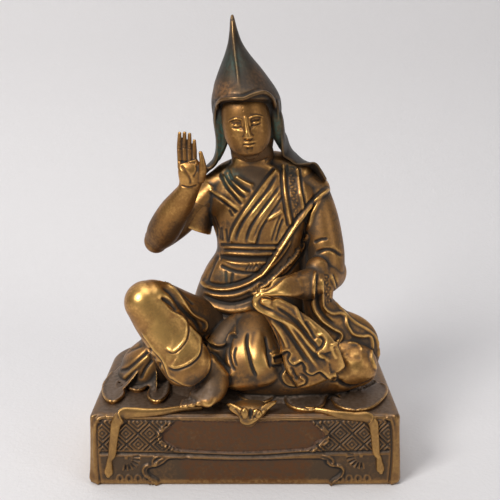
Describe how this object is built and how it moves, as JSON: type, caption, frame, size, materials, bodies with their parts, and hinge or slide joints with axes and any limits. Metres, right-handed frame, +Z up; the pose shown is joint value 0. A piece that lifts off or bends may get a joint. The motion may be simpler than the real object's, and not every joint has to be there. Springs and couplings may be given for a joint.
{
  "type": "gilt bronze seated figure on a cushion",
  "caption": "Seated robed figure in royal ease on a rectangular cushion, with pointed cap, raised hand and a hide over the seat; one bronze casting, hollow below.",
  "frame": {"origin": "middle of the box on the plane that the cushion's underside stands on", "axes": "+Z up, -Y towards the front of the figure, +X towards the figure's left"},
  "size_m": [0.155, 0.1041, 0.2297],
  "materials": {
    "gilt_bronze": "worn gilding over brown patina"
  },
  "bodies": {
    "root": {"gilt_bronze_figure": "gilt_bronze"}
  },
  "joints": []
}
